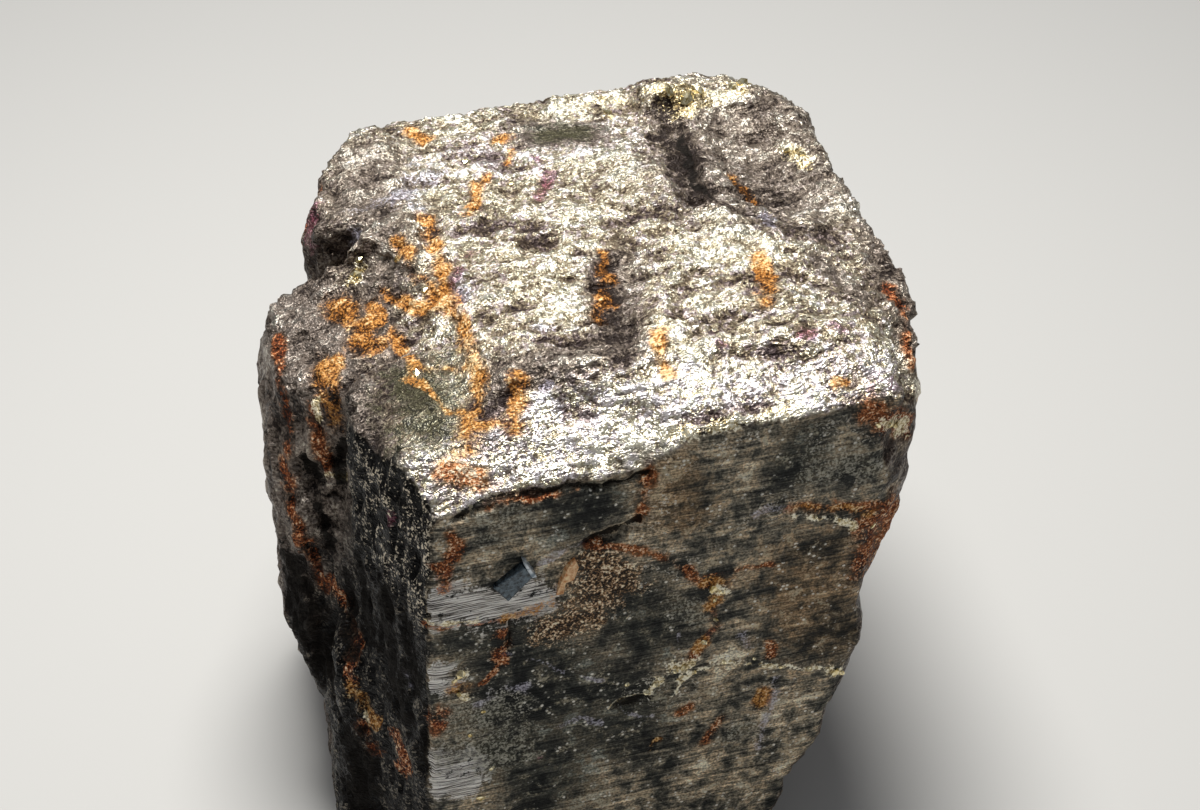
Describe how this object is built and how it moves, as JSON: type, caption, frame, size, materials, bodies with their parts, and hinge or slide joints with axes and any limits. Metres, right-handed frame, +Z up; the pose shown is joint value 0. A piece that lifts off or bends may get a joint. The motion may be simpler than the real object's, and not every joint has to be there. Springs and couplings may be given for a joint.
{
  "type": "meteorite",
  "caption": "Rough hand-sized block of dark metallic meteorite stone with a cleaved front face, a glittering crown and rust-lined cracks; rests on a flat broken underside.",
  "frame": {"origin": "middle of the bounding box's underside, in the plane that the stone rests on", "axes": "+Z up, +X to the right along the cleaved front face, +Y from the front face back into the stone"},
  "size_m": [0.1238, 0.113, 0.1298],
  "materials": {
    "stone": "dark iron-grey cleavage faces with a dull metallic gleam, a crust of glittering pale gold grains on top, orange iron rust in the cracks"
  },
  "bodies": {
    "root": {"meteorite": "stone"}
  },
  "joints": []
}
